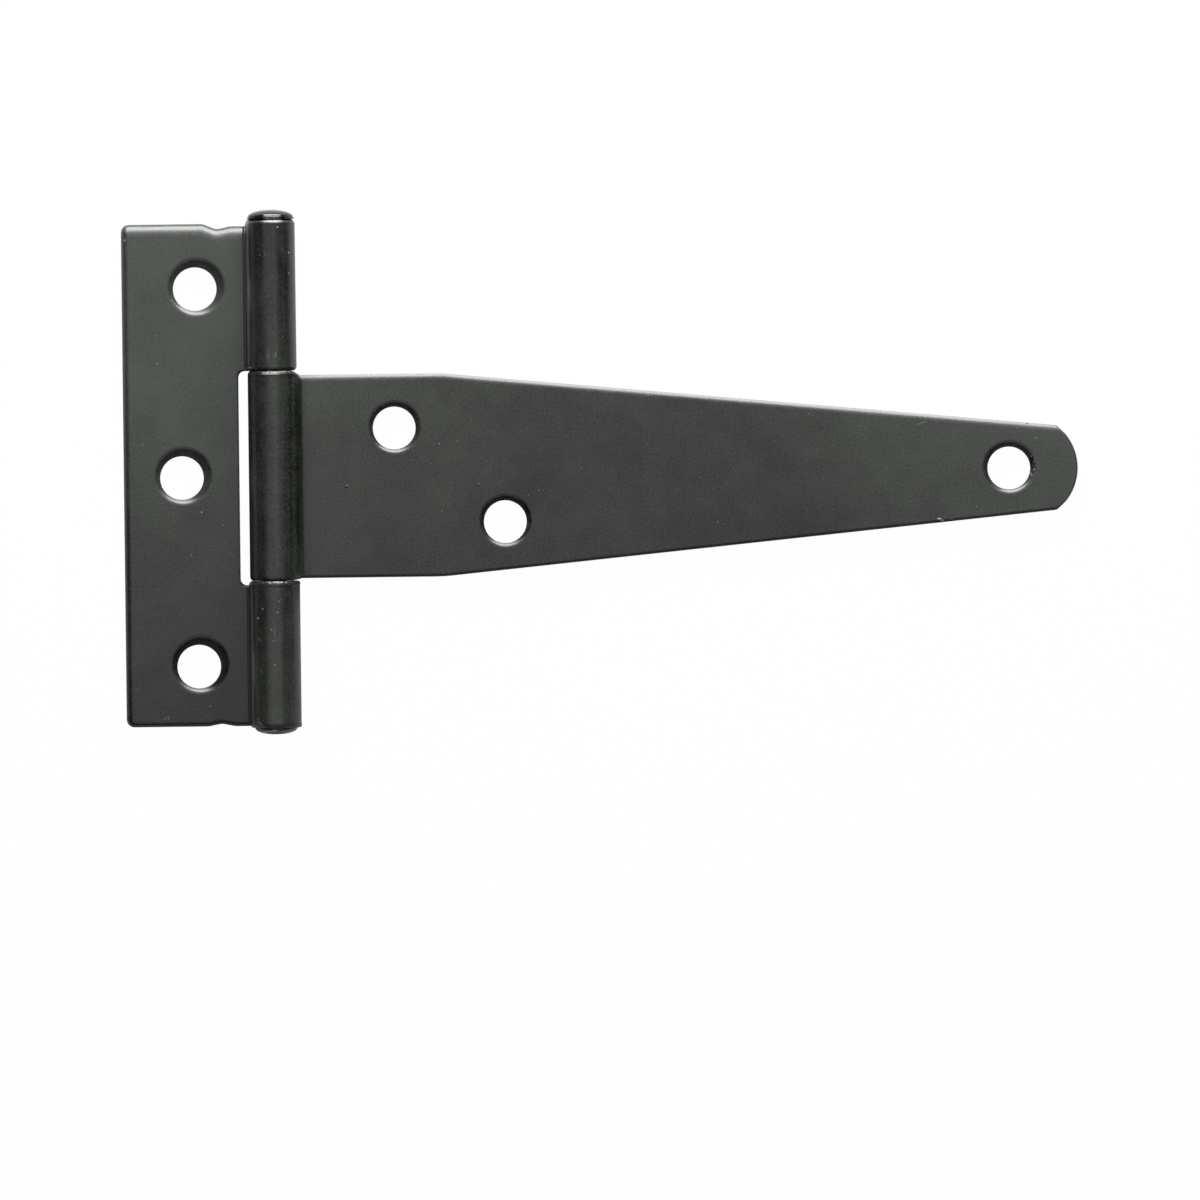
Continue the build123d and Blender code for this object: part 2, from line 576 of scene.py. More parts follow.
@dataclass
class CrossLeaf(RolledLeaf):
    """The leaf that is screwed to the post, with a knuckle above and below its window."""

    sheet: float = 1.5
    seam: float = 0.08
    opening: float = 0.0
    slant: float = math.radians(7)
    groove_width: float = 0.28
    groove_depth: float = 0.9
    groove_gap: float = 0.02
    groove_clearance: float = 0.15
    groove_margin: float = 0.3
    window_edge: float = -4.32
    window_corner: float = 0.8
    root_corner: float = 0.1
    foot_corner: float = 0.06
    knuckle_gap: float = 0.012
    window_drop: float = 0.5
    half_height: float = 31.75
    rise: float = 0.32
    nick_reach: float = 6.9
    nick_half_width: float = 1.7
    nick_blend: float = 1.6
    upper_nick: float = 0.72
    upper_step: float = 0.33
    lower_nick: float = 0.33
    corner: float = 1.0
    outer_side: float = 0.6
    lower_side: float = 0.4
    outer_hole_margin: float = 9.25
    middle_hole_margin: float = 7.35
    hole_spacing: float = 47.7
    end_flare: float = 0.32
    end_flare_length: float = 1.4
    crown_draw: float = 0.2
    crown_length: float = 1.0
    edge: EdgeProfile = EdgeProfile()
    name = "cross_leaf"
    body = Body.FRAME

    def __post_init__(self) -> None:
        """Works the outline and the holes out from the node's box."""
        box = NodeBox.of(self.name)
        strap = NodeBox.of(StrapLeaf.name)
        self.barrel_radius = box.high.z / 2
        self.curl()
        joint, tab = -self.barrel_radius, self.tab
        top, bottom = box.high.y, box.low.y
        window_top, lower_start = strap.high.y + self.knuckle_gap, strap.low.y - self.knuckle_gap
        window_bottom = lower_start - self.window_drop
        upper, lower = self.rise + self.half_height, self.rise - self.half_height
        step = upper - self.upper_step
        far, near = -self.nick_reach - self.nick_half_width, -self.nick_reach + self.nick_half_width
        self.outline = Outline(
            [
                Corner(tab, bottom, self.tab_corner, self.roll_end),
                Corner(tab, lower_start, self.tab_corner, self.roll_side),
                Corner(joint, lower_start, self.root_corner, self.window_side),
                Corner(joint, window_bottom, self.root_corner, self.window_side),
                Corner(self.window_edge, window_bottom, self.window_corner, self.window_side),
                Corner(self.window_edge, window_top, self.window_corner, self.window_side),
                Corner(joint, window_top, 0.0, self.window_side),
                Corner(0.0, window_top, 0.0, self.roll_side),
                Corner(tab, window_top, self.tab_corner, self.roll_end),
                Corner(tab, top, self.tab_corner, self.roll_side),
                Corner(joint, top, self.tab_corner, self.window_side),
                Corner(joint, step, self.tab_corner),
                Corner(near, step, self.nick_blend),
                Corner(-self.nick_reach, upper - self.upper_nick, self.nick_blend),
                Corner(far, upper, self.nick_blend),
                Corner(box.low.x, upper, self.corner, self.outer_side),
                Corner(box.low.x, lower, self.corner, self.lower_side),
                Corner(far, lower, self.nick_blend, self.lower_side),
                Corner(-self.nick_reach, lower + self.lower_nick, self.nick_blend, self.lower_side),
                Corner(near, lower, self.nick_blend, self.lower_side),
                Corner(joint, lower, self.foot_corner, self.window_side),
                Corner(joint, bottom, self.foot_corner, self.roll_side),
            ]
        )
        outer, middle = box.low.x + self.outer_hole_margin, box.low.x + self.middle_hole_margin
        half = self.hole_spacing / 2
        places = ((outer, half), (middle, 0.0), (outer, -half))
        self.holes = [
            ScrewHole(x, y, radius=2.75, sink_width=1.15, lip_round=1.0, lean=(0.2, 0.25))
            for x, y in places
        ]

    def chips(self) -> list[Groove]:
        """The grooves that the ends of the two rolls press into the plate."""
        box, strap = NodeBox.of(self.name), NodeBox.of(StrapLeaf.name)
        foot = self.barrel_radius * math.cos(self.slant) + self.straight_end * math.sin(self.slant)
        right = -foot - self.groove_gap
        low = Vector((right - self.groove_width, 0, self.sheet - self.groove_depth))
        high = Vector((right, 0, self.sheet + self.groove_clearance))
        above_window = strap.high.y + self.groove_margin
        below_window = strap.low.y - self.window_drop - self.groove_margin
        spans = ((above_window, box.high.y + 1), (box.low.y - 1, below_window))
        return [Groove(low + Vector((0, start, 0)), high + Vector((0, end, 0))) for start, end in spans]

    def roll(self, shape: bmesh.types.BMesh) -> None:
        """Curls both knuckles, draws the upper one in under its rivet and spreads the lower one's ends.

        Args:
            shape: The flat blank.
        """
        super().roll(shape)
        box, strap = NodeBox.of(self.name), NodeBox.of(StrapLeaf.name)
        for vert in shape.verts:
            arm = Vector((vert.co.x, 0, vert.co.z - self.barrel_radius))
            drawn = max(0.0, 1 - (box.high.y - vert.co.y) / self.crown_length) ** 2 * self.crown_draw
            if drawn and vert.co.x > joint_side(self.barrel_radius, vert.co.z, self.sheet):
                outer_share = max(0.0, (arm.length - self.barrel_radius + self.sheet) / self.sheet)
                vert.co -= arm.normalized() * drawn * outer_share
            if vert.co.x > 0 and vert.co.y < strap.low.y:
                away = min(strap.low.y - vert.co.y, vert.co.y - box.low.y) / self.end_flare_length
                spread = max(0.0, 1 - away) ** 2 * self.end_flare
                vert.co.x += spread * (vert.co.x / self.barrel_radius) ** 3


@dataclass
class StrapLeaf(RolledLeaf):
    """The long tapered leaf that is screwed to the door, with one knuckle at its root."""

    sheet: float = 1.5
    seam: float = 0.15
    opening: float = 0.6
    half_width: float = 12.83
    flare_start: float = 2.4
    flare_end: float = 3.5
    flare_corner: float = 0.3
    tab_slant: float = 1.1
    tab_slant_length: float = 3.6
    slant_corner: float = 1.5
    straight: float = 21.4
    upper_taper_corner: float = 5.0
    lower_taper_corner: float = 20.0
    tip_half: float = 5.35
    tip_radius: float = 6.7
    tip_corner: float = 0.9
    tip_corner_room: float = 13.0
    tip_steps: int = 34
    tip_share: float = 0.25
    lower_side: float = 0.5
    first_hole: float = 15.3
    second_hole: float = 29.2
    hole_stagger: float = 6.0
    tip_hole_margin: float = 8.7
    edge: EdgeProfile = EdgeProfile(front_width=1.2, front_depth=1.1, wall_angle=44)
    name = "strap_leaf"
    body = Body.STRAP
    mirrored = True

    def __post_init__(self) -> None:
        """Works the outline and the holes out from the node's box."""
        box = NodeBox.of(self.name)
        self.barrel_radius = box.high.z / 2
        self.curl()
        top, bottom, length = box.high.y, box.low.y, box.high.x
        tab, slant_start = self.tab, self.tab - self.tab_slant_length
        centre = -length + self.tip_radius
        spread = math.asin(self.tip_half / self.tip_radius)
        reach = spread - math.radians(self.tip_corner_room)
        steps = range(self.tip_steps + 1)
        angles = [spread, *(reach * (1 - 2 * step / self.tip_steps) for step in steps), -spread]
        arc = [
            Corner(
                centre - self.tip_radius * math.cos(angle),
                self.tip_radius * math.sin(angle),
                0.0,
                self.tip_share,
            )
            for angle in angles
        ]
        arc[0] = Corner(arc[0].x, arc[0].y, self.tip_corner, self.tip_share)
        arc[-1] = Corner(arc[-1].x, arc[-1].y, self.tip_corner, self.lower_side)
        self.outline = Outline(
            [
                Corner(tab, bottom + self.tab_slant, self.tab_corner, self.roll_end),
                Corner(tab, top - self.tab_slant, self.tab_corner, self.roll_side),
                Corner(slant_start, top, self.slant_corner, self.roll_side),
                Corner(-self.flare_start, top, self.flare_corner),
                Corner(-self.flare_end, self.half_width, self.flare_corner),
                Corner(-self.straight, self.half_width, self.upper_taper_corner),
                *arc,
                Corner(-self.straight, -self.half_width, self.lower_taper_corner, self.lower_side),
                Corner(-self.flare_end, -self.half_width, self.flare_corner, self.lower_side),
                Corner(-self.flare_start, bottom, self.flare_corner, self.roll_side),
                Corner(slant_start, bottom, self.slant_corner, self.roll_side),
            ]
        )
        places = (
            (self.first_hole, self.hole_stagger),
            (self.second_hole, -self.hole_stagger),
            (length - self.tip_hole_margin, 0.0),
        )
        self.holes = [
            ScrewHole(-x, y, radius=2.7, sink_width=0.85, lip_round=0.85, lean=(-0.06, 0.12))
            for x, y in places
        ]

    def chips(self) -> list[Blemish]:
        """The torn lip of the last hole and the chips along both edges."""
        tip = self.holes[-1]
        return [
            Blemish(tip.x - 2.75, 0.15, 1.35, (0.55, 1.25, 0.75), 0.35, 3.0),
            Blemish(-84.2, -6.72, 1.5, (0.55, 0.24, 0.4), 0.3, 5.0),
            Blemish(-85.6, -6.6, 1.5, (0.4, 0.2, 0.35), 0.3, 6.0),
            Blemish(-15.3, 12.86, 1.5, (0.2, 0.16, 0.25), 0.2, 8.0),
            Blemish(-21.4, 12.88, 1.5, (0.4, 0.22, 0.35), 0.2, 4.0),
            Blemish(-26.2, 12.36, 1.5, (0.22, 0.15, 0.25), 0.2, 10.0),
            Blemish(-95.3, 5.66, 1.5, (0.3, 0.18, 0.3), 0.3, 11.0),
        ]

    def nibs(self) -> list[Blemish]:
        """The lumps that the coating covers."""
        return [
            Blemish(-9.2, -1.3, 1.45, (0.2, 0.2, 0.16), 0.15, 7.0),
            Blemish(-25.9, -1.3, 1.45, (0.16, 0.16, 0.1), 0.15, 9.0),
        ]


# The rim of the upper rivet head, from its crown down to the knuckle. Each corner lies this far inside
# the rim's radius and this far above the knuckle's end, and is rounded to the third number.
UPPER_RIM = (
    (0.16, 0.27, 0.03),
    (0.03, 0.24, 0.03),
    (0.03, 0.16, 0.02),
    (0.12, 0.12, 0.02),
    (0.0, 0.06, 0.03),
    (0.05, 0.0, 0.03),
)


@dataclass
class HingePin:
    """The pin, with a domed rivet head at each end."""

    name = "hinge_pin"
    shank_radius: float = 1.55
    segments: int = 96
    upper_rim: float = 3.0
    lower_rim: float = 2.7
    upper_crown_inset: float = 0.14
    upper_crown_foot: float = 0.34
    lower_ease: float = 0.05
    lower_corner: float = 0.03
    crown_steps: int = 22
    width_power: float = 0.92
    height_power: float = 1.12

    def crown(self, radius: float, foot: float, top: float) -> list[Corner]:
        """The round of a rivet head.

        Args:
            radius: Its radius at the foot.
            foot: Where it starts along the pin.
            top: Where it ends along the pin.

        Returns:
            Corners from just beside the top down to the foot.
        """
        corners = []
        for step in range(1, self.crown_steps + 1):
            angle = math.pi / 2 * step / self.crown_steps
            away = radius * math.sin(angle) ** self.width_power
            along = foot + (top - foot) * math.cos(angle) ** self.height_power
            corners.append(Corner(away, along))
        return corners

    def build(self) -> bpy.types.Object:
        """Makes the pin.

        Returns:
            The pin's object.
        """
        box = NodeBox.of(self.name)
        leaf = NodeBox.of(CrossLeaf.name)
        axis_height = (box.low.z + box.high.z) / 2
        top, bottom = leaf.high.y, leaf.low.y
        upper_radius = self.upper_rim - self.upper_crown_inset
        lower_radius = self.lower_rim - self.lower_ease
        lower_crown = self.crown(lower_radius, bottom - 2 * self.lower_ease, box.low.y)
        chain = Outline(
            [
                Corner(0.0, box.high.y),
                *self.crown(upper_radius, top + self.upper_crown_foot, box.high.y),
                *(Corner(self.upper_rim - inside, top + above, bend) for inside, above, bend in UPPER_RIM),
                Corner(self.shank_radius, top),
                Corner(self.shank_radius, bottom),
                Corner(lower_radius, bottom, self.lower_corner),
                Corner(self.lower_rim, bottom - self.lower_ease, self.lower_corner),
                *reversed(lower_crown),
                Corner(0.0, box.low.y),
            ],
            closed=False,
        )
        shape = bmesh.new()
        spun(shape, chain.points(), Vector((0, 0, axis_height)), Vector((0, 1, 0)), self.segments)
        pin = as_object(shape, f"{self.name}_coated")
        finish_mesh(pin)
        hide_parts(self.name)
        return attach(pin, Body.FRAME.value)


@dataclass(frozen=True)
class Mark:
    """A fleck, scuff or scratch in the coating of the front, or a painted highlight or glint, at its place
    on the hinge.

    The turn is in degrees, and a strength of 1 shows nothing but the light grey of dusty specks and
    painted highlights.
    """

    x: float
    y: float
    length: float
    width: float
    turn: float = 0.0
    strength: float = 1.0


LEAF_MARKS = (
    Mark(0.92, 31.52, 0.2, 0.17),
    Mark(-18.47, 30.08, 0.16, 0.16),
    Mark(-14.52, 14.46, 0.18, 0.16, 0, 0.6),
    Mark(-9.12, -4.36, 0.16, 0.16, 0, 0.5),
    Mark(-6.43, -6.03, 0.16, 0.16, 0, 0.4),
    Mark(-8.29, -28.85, 0.16, 0.16, 0, 0.4),
    Mark(2.33, 28.22, 0.16, 0.16, 0, 0.6),
    Mark(2.3, 25.63, 0.16, 0.16, 0, 0.5),
    Mark(-2.09, -17.8, 0.26, 0.17, 30, 0.8),
    Mark(-1.51, -16.67, 0.15, 0.15, 0, 0.6),
    Mark(0.4, -17.13, 0.15, 0.15, 0, 0.6),
    Mark(-0.4, -19.27, 0.15, 0.15, 0, 0.6),
    Mark(-1.91, -20.53, 0.8, 0.1, -55, 0.3),
    Mark(0.0, -19.6, 1.5, 0.08, 88, 0.2),
    Mark(-0.04, -20.7, 0.6, 0.08, 15, 0.2),
    Mark(-1.69, -24.63, 0.7, 0.08, 100, 0.25),
    Mark(-0.05, -23.76, 0.3, 0.2, 90, 0.25),
    Mark(-1.95, -31.12, 0.9, 0.09, -28, 0.5),
    # Painted glints in the seams beside the two knuckles.
    Mark(-3.36, 23.05, 3.6, 0.12, 90, 0.6),
    Mark(-3.38, -24.61, 3.2, 0.12, 90, 0.35),
    # A painted glint on the spread lower end of the lower knuckle.
    Mark(-3.21, -31.7, 0.7, 0.45, -35, 0.7),
    # A painted highlight on the lower end of the upper knuckle, by the seam.
    Mark(-2.78, 13.78, 0.9, 0.12, -8, 0.6),
    Mark(-0.42, 15.3, 1.8, 0.5, 93, 0.05),
    Mark(0.5, 15.4, 0.9, 0.12, 84, 0.2),
    Mark(-13.9, -30.3, 0.5, 0.1, 60, 0.25),
    Mark(-13.6, -30.35, 0.5, 0.1, 75, 0.22),
    Mark(-14.2, -30.45, 0.4, 0.1, 50, 0.2),
    # A painted highlight on the rounded top end of the upper knuckle.
    Mark(0.3, 32.3, 2.4, 0.4, 0, 0.45),
    # Long painted highlights on the lips of the two rolls, beside the seams.
    Mark(-2.93, 22.9, 26.0, 0.45, 90, 0.2),
    Mark(-2.93, -22.6, 26.0, 0.45, 90, 0.17),
)
STRAP_MARKS = (
    Mark(20.99, 3.95, 0.16, 0.16, 0, 0.45),
    Mark(33.44, -2.09, 0.16, 0.16, 0, 0.45),
    Mark(81.88, 5.83, 1.6, 0.1, 20, 0.25),
    # A painted highlight on the top end of the middle knuckle.
    Mark(-0.1, 12.98, 2.6, 0.3, 0, 0.5),
    # Painted glints on the torn lip of the last hole.
    Mark(95.75, 1.45, 0.22, 0.12, 120, 0.9),
    Mark(96.05, 0.75, 0.14, 0.3, 0, 0.6),
    Mark(96.0, 0.1, 0.12, 0.2, 0, 0.8),
    Mark(95.75, -0.9, 0.25, 0.12, 50, 0.8),
    Mark(95.45, 1.0, 0.3, 0.4, 0, 0.4),
    Mark(95.6, -0.5, 0.24, 0.5, 10, 0.35),
    # Painted glints at the chips in the lower edge near the tip.
    Mark(84.0, -6.28, 0.5, 0.18, 15, 1.0),
    Mark(84.35, -6.52, 0.55, 0.18, -8, 1.0),
    Mark(85.6, -6.4, 0.5, 0.12, 5, 0.5),
)
PIN_MARKS = (
    # Painted highlights on the rim of the upper rivet head.
    Mark(0.35, 32.82, 1.9, 0.1, 0, 0.4),
    Mark(-2.3, 32.5, 0.7, 0.07, 6, 0.3),
    Mark(2.1, 32.55, 0.35, 0.07, -20, 0.35),
    # Painted highlights on the rim of the lower rivet head.
    Mark(-1.12, -32.15, 1.3, 0.15, 2, 0.9),
    Mark(-0.2, -32.04, 0.75, 0.16, 4, 1.0),
)


class Signal:
    """A shader socket that takes part in arithmetic."""

    def __init__(self, graph: "Graph", socket: bpy.types.NodeSocket) -> None:
        """Wraps a socket.

        Args:
            graph: The graph that the socket belongs to.
            socket: The output socket.
        """
        self.graph = graph
        self.socket = socket

    def _math(self, operation: str, first: object, second: object) -> "Signal":
        """Adds a Math node.

        Args:
            operation: The node's operation.
            first: The first value.
            second: The second value.

        Returns:
            The node's output.
        """
        return self.graph.add("ShaderNodeMath", {"operation": operation}, {0: first, 1: second})

    def __add__(self, other: object) -> "Signal":
        """Adds."""
        return self._math("ADD", self, other)

    def __radd__(self, other: object) -> "Signal":
        """Adds to a number."""
        return self._math("ADD", other, self)

    def __sub__(self, other: object) -> "Signal":
        """Subtracts."""
        return self._math("SUBTRACT", self, other)

    def __rsub__(self, other: object) -> "Signal":
        """Subtracts from a number."""
        return self._math("SUBTRACT", other, self)

    def __mul__(self, other: object) -> "Signal":
        """Multiplies."""
        return self._math("MULTIPLY", self, other)

    def __rmul__(self, other: object) -> "Signal":
        """Multiplies a number."""
        return self._math("MULTIPLY", other, self)

    def clamped(self) -> "Signal":
        """Held between 0 and 1."""
        settings = {"operation": "ADD", "use_clamp": True}
        return self.graph.add("ShaderNodeMath", settings, {0: self, 1: 0.0})

    def off(self, value: float) -> "Signal":
        """How far it lies from a value."""
        return self._math("ABSOLUTE", self - value, 0.0)

    def above(self, low: float, high: float) -> "Signal":
        """A smooth mask that rises from 0 to 1 between two values.

        Args:
            low: Where it is 0. A low over the high makes it fall instead.
            high: Where it is 1.

        Returns:
            The mask.
        """
        settings = {"interpolation_type": "SMOOTHSTEP"}
        return self.graph.add("ShaderNodeMapRange", settings, {0: self, 1: low, 2: high})


class Graph:
    """The node tree of a material or of the world."""

    # A mark reaches this far along Z, and fades out between these two distances from its middle.
    MARK_HEIGHT = 1e4
    MARK_FADE = (1.25, 0.5)

    def __init__(self, owner: bpy.types.ID) -> None:
        """Takes the node tree of a material or world and empties it.

        Args:
            owner: The material or world.
        """
        self.owner = owner
        owner.use_nodes = True
        self.tree = owner.node_tree
        self.tree.nodes.clear()

    def add(
        self, kind: str, settings: dict[str, object], sockets: dict[object, object], output: object = 0
    ) -> Signal:
        """Adds a node.

        Args:
            kind: The node's type.
            settings: Its properties, which are set first.
            sockets: Values or signals for its inputs, by name or number.
            output: The output that is wanted, by name or number.

        Returns:
            The wanted output.
        """
        node = self.tree.nodes.new(kind)
        for key, value in settings.items():
            setattr(node, key, value)
        for key, value in sockets.items():
            if isinstance(value, Signal):
                self.tree.links.new(value.socket, node.inputs[key])
            else:
                node.inputs[key].default_value = value
        return Signal(self, node.outputs[output] if node.outputs else None)

    def place(self, stretch: tuple[float, float, float] = (1, 1, 1)) -> Signal:
        """The place on the object in millimetres.

        Args:
            stretch: Factors along the three axes.

        Returns:
            A vector.
        """
        spot = self.add("ShaderNodeTexCoord", {}, {}, "Object")
        factors = tuple(factor / MM for factor in stretch)
        return self.add("ShaderNodeVectorMath", {"operation": "MULTIPLY"}, {0: spot, 1: factors})

    def axis(self, spot: Signal, name: str) -> Signal:
        """One coordinate of a vector.

        Args:
            spot: The vector.
            name: X, Y or Z.

        Returns:
            A number.
        """
        return self.add("ShaderNodeSeparateXYZ", {}, {0: spot}, name)

    def noise(self, spot: Signal, size: float, detail: float = 2.0, distortion: float = 0.0) -> Signal:
        """Soft noise around one half.

        Args:
            spot: The place that it is read at.
            size: The size of its lumps in millimetres.
            detail: How many finer layers it has.
            distortion: How much it is swirled.

        Returns:
            A value from 0 to 1.
        """
        sockets = {"Vector": spot, "Scale": 1 / size, "Detail": detail, "Distortion": distortion}
        return self.add("ShaderNodeTexNoise", {}, sockets)

    def shaken(self, spot: Signal, size: float, reach: float) -> Signal:
        """Moves a place about at random, which gives marks a ragged outline.

        Args:
            spot: The place.
            size: The size of the wobble in millimetres.
            reach: How far it moves at most.

        Returns:
            The moved place.
        """
        sockets = {"Vector": spot, "Scale": 1 / size, "Detail": 1.0}
        shake = self.add("ShaderNodeTexNoise", {}, sockets, "Color")
        subtract, stretch = {"operation": "SUBTRACT"}, {"operation": "MULTIPLY_ADD"}
        centred = self.add("ShaderNodeVectorMath", subtract, {0: shake, 1: (0.5,) * 3})
        return self.add("ShaderNodeVectorMath", stretch, {0: centred, 1: (2 * reach,) * 3, 2: spot})

    def mark(self, spot: Signal, mark: Mark) -> Signal:
        """A soft-edged mask over one mark.

        Args:
            spot: The place that it is read at.
            mark: The mark.

        Returns:
            Its strength inside the mark and 0 elsewhere.
        """
        sockets = {
            "Vector": spot,
            "Location": (mark.x, mark.y, 0),
            "Rotation": (0, 0, math.radians(mark.turn)),
            "Scale": (mark.length / 2, mark.width / 2, self.MARK_HEIGHT),
        }
        near = self.add("ShaderNodeMapping", {"vector_type": "TEXTURE"}, sockets)
        away = self.add("ShaderNodeVectorMath", {"operation": "LENGTH"}, {0: near}, "Value")
        return away.above(*self.MARK_FADE) * mark.strength

    def mix(self, mask: Signal, first: object, second: object) -> Signal:
        """Mixes two colours.

        Args:
            mask: 0 gives the first and 1 the second.
            first: A colour.
            second: A colour.

        Returns:
            The mixed colour.
        """
        sockets = {0: mask, MIX_FIRST: first, MIX_SECOND: second}
        return self.add("ShaderNodeMix", {"data_type": "RGBA"}, sockets, MIX_COLOUR)


@dataclass(frozen=True)
class BlackCoating:
    """A thin satin coat of black on pressed steel.

    Its colour is painted lighter towards the leaf's outer edge, the strap's tip and the top of the flat
    parts,
    and less so on the barrel: a painted sheen in place of the soft reflection of the lights. Tone is how
    much each pattern tells in the colour, and height how far it stands up, in millimetres.
    """

    name: str
    colour: tuple[float, float, float] = (0.0001, 0.0006, 0.0001)
    # The light end of the colour, which the random tone and the painted sheen reach.
    chalk_and_sheen: tuple[float, float, float] = (0.0252, 0.029, 0.0247)
    # The light grey of dusty specks, and of the painted highlights and glints among the marks.
    dust_and_highlight: tuple[float, float, float] = (0.3, 0.3, 0.29)
    roughness: float = 0.36
    cloud_size: float = 14.0
    patch_size: float = 3.2
    grain_size: float = 0.3
    peel_size: float = 1.5
    streak_size: float = 0.7
    streak_stretch: float = 0.03
    fleck_size: float = 0.26
    fleck_strength: float = 0.55
    ragged_size: float = 0.3
    ragged_reach: float = 0.12
    # How much the painted sheen lightens the colour towards the leaf's end, the strap's tip and the top,
    # in place of the lights' reflection, and how much less of it the barrel gets.
    left_painted_sheen: float = 0.68
    right_painted_sheen: float = 0.82
    upper_painted_sheen: float = 0.022
    upper_barrel_painted_sheen: float = 0.031
    barrel_painted_sheen_cut: float = 0.6
    painted_sheen_share: float = 0.7
    least_tone: float = 0.15
    cloud_tone: float = 0.6
    patch_tone: float = 0.5
    grain_tone: float = 1.1
    streak_tone: float = 0.9
    cloud_roughness: float = 0.08
    patch_roughness: float = 0.1
    peel_height: float = 0.004
    grain_height: float = 0.0012
    streak_height: float = 0.014
    ragged_height: float = 0.1
    barrel_height: float = 1.7
    barrel_blend: float = 0.5
    knuckle_end: float = 13.3
    leaf_end: float = -22.0
    strap_middle: float = 47.0
    tip: float = 103.0
    marks: tuple[Mark, ...] = ()

    def material(self) -> bpy.types.Material:
        """Builds the material.

        Returns:
            The material.
        """
        graph = Graph(bpy.data.materials.new(self.name))
        spot = graph.place()
        clouds = graph.noise(spot, self.cloud_size, detail=3, distortion=0.4)
        patches = graph.noise(spot, self.patch_size, detail=3, distortion=0.2)
        grain = graph.noise(spot, self.grain_size)
        peel = graph.noise(spot, self.peel_size)
        streaks = graph.noise(graph.place((1, self.streak_stretch, 1)), self.streak_size, detail=3)
        along, across, up = (graph.axis(spot, name) for name in "XYZ")
        barrel = up.above(self.barrel_height, self.barrel_height + self.barrel_blend)
        # Painted sheen: the colour is made lighter towards the leaf's outer end, the strap's tip and the
        # top of the flat parts, less so on the barrel, in place of the soft reflection of the lights.
        left = along.above(self.strap_middle, self.leaf_end)
        right = along.above(self.strap_middle, self.tip)
        painted_sheen = (left * self.left_painted_sheen + right * self.right_painted_sheen) * (1 - barrel * self.barrel_painted_sheen_cut)
        painted_sheen = painted_sheen + across * (self.upper_painted_sheen - barrel * self.upper_barrel_painted_sheen)
        painted_sheen = painted_sheen.clamped() * self.painted_sheen_share + self.least_tone
        tone = (clouds - 0.5) * self.cloud_tone + (patches - 0.5) * self.patch_tone
        tone = tone + (grain - 0.5) * self.grain_tone
        tone = painted_sheen + tone + barrel * (streaks - 0.5) * self.streak_tone
        paint = graph.mix(tone, (*self.colour, 1.0), (*self.chalk_and_sheen, 1.0))
        # Random dusty specks, and the marks, many of which are painted highlights and glints, lighten the
        # front.
        flecks_and_highlights = graph.noise(spot, self.fleck_size, detail=0).above(0.87, 0.89) * self.fleck_strength
        ragged_spot = graph.shaken(spot, self.ragged_size, self.ragged_reach)
        for mark in self.marks:
            flecks_and_highlights = flecks_and_highlights + graph.mark(ragged_spot, mark)
        paint = graph.mix(flecks_and_highlights * up.above(0.8, 1.1), paint, (*self.dust_and_highlight, 1.0))
        roughness = self.roughness + (clouds - 0.5) * self.cloud_roughness
        roughness = roughness + (patches - 0.5) * self.patch_roughness
        ends = across.off(0.0).off(self.knuckle_end).above(0.75, 0.3) * barrel
        height = peel * self.peel_height + grain * self.grain_height
        height = height + streaks * barrel * self.streak_height
        height = height + ends * graph.noise(spot, 0.5, 2) * self.ragged_height
        bump = graph.add("ShaderNodeBump", {}, {"Strength": 1.0, "Distance": MM, "Height": height})
        shader = graph.add(
            "ShaderNodeBsdfPrincipled",
            {},
            {"Base Color": paint, "Roughness": roughness, "Normal": bump, "IOR": 1.5},
        )
        graph.add("ShaderNodeOutputMaterial", {}, {"Surface": shader})
        return graph.owner


@dataclass(frozen=True)
class PinCoating(BlackCoating):
    """The same coat on the pin, smoother and darker than on the leaves."""

    # On the pin the light end of the colour, and so its painted sheen, is darker.
    chalk_and_sheen: tuple[float, float, float] = (0.01, 0.0112, 0.01)
    roughness: float = 0.17


@dataclass(frozen=True)
class Softbox:
    """A soft rectangular light that faces the hinge. A radiance of 1 is white."""

    name: str
    place: tuple[float, float, float]
    width: float
    height: float
    radiance: float

    def hang(self) -> None:
        """Adds the light to the scene."""
        data = bpy.data.lights.new(self.name, "AREA")
        data.shape = "RECTANGLE"
        data.size = self.width * MM
        data.size_y = self.height * MM
        data.energy = self.radiance * math.pi * data.size * data.size_y
        lamp = bpy.data.objects.new(self.name, data)
        bpy.context.scene.collection.objects.link(lamp)
        place = Vector(self.place)
        lamp.location = place * MM
        aim = Vector((place.x, 0, 0)) - place
        lamp.rotation_euler = aim.to_track_quat("-Z", "Y").to_euler()
        lamp.visible_camera = False


